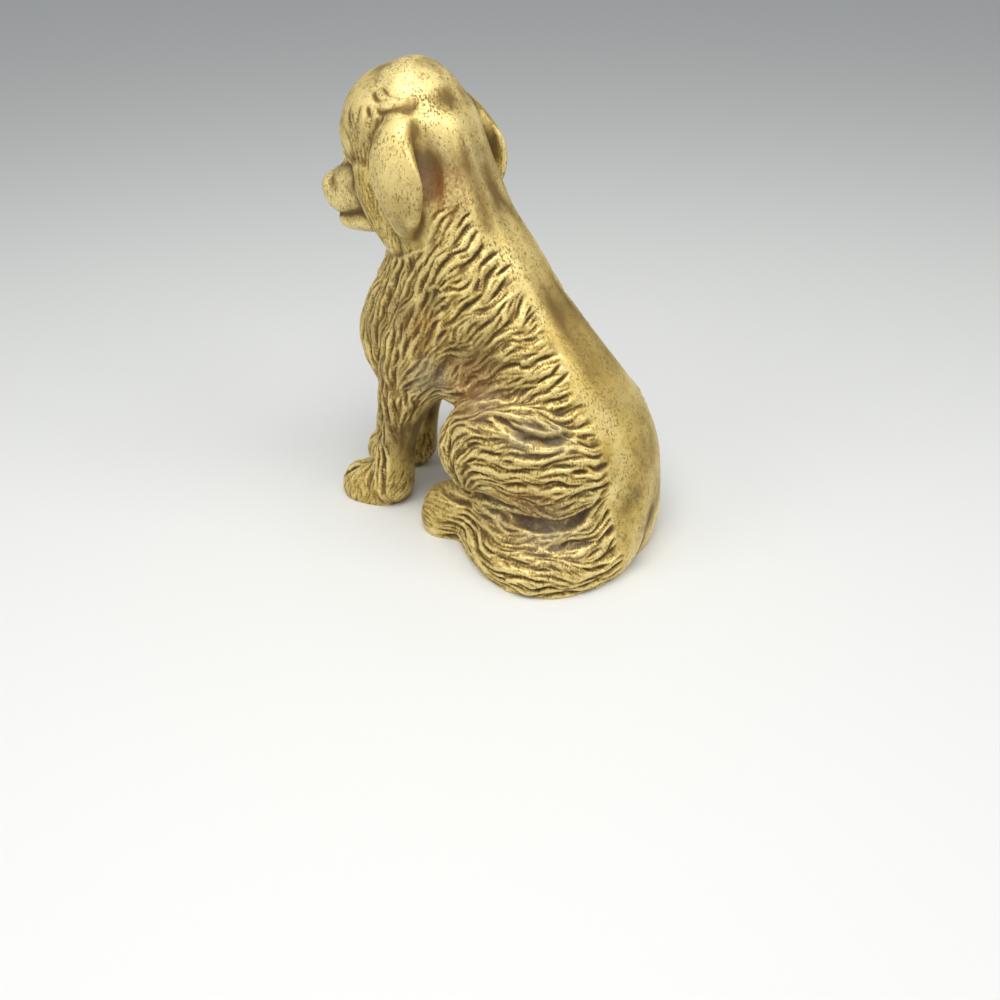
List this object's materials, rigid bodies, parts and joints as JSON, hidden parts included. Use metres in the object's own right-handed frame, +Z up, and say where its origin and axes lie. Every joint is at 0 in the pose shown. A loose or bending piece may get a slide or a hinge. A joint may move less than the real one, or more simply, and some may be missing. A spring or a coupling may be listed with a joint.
{
  "type": "dog figurine",
  "caption": "Seated long-haired dog with drooping ears, straight forelegs and its tail curled round the left haunch, on a flat underside.",
  "frame": {"origin": "middle of the flat underside of the rump, in the figure's mid-plane", "axes": "+Z up, -Y the way the dog's chest faces, +X its left side, where the tail lies"},
  "size_m": [0.086, 0.1305, 0.1598],
  "materials": {
    "brass": "aged yellow brass, worn bright on the raised parts, with brown patina and dust in the carving and dark pits"
  },
  "bodies": {
    "root": {"dog": "brass"}
  },
  "joints": []
}
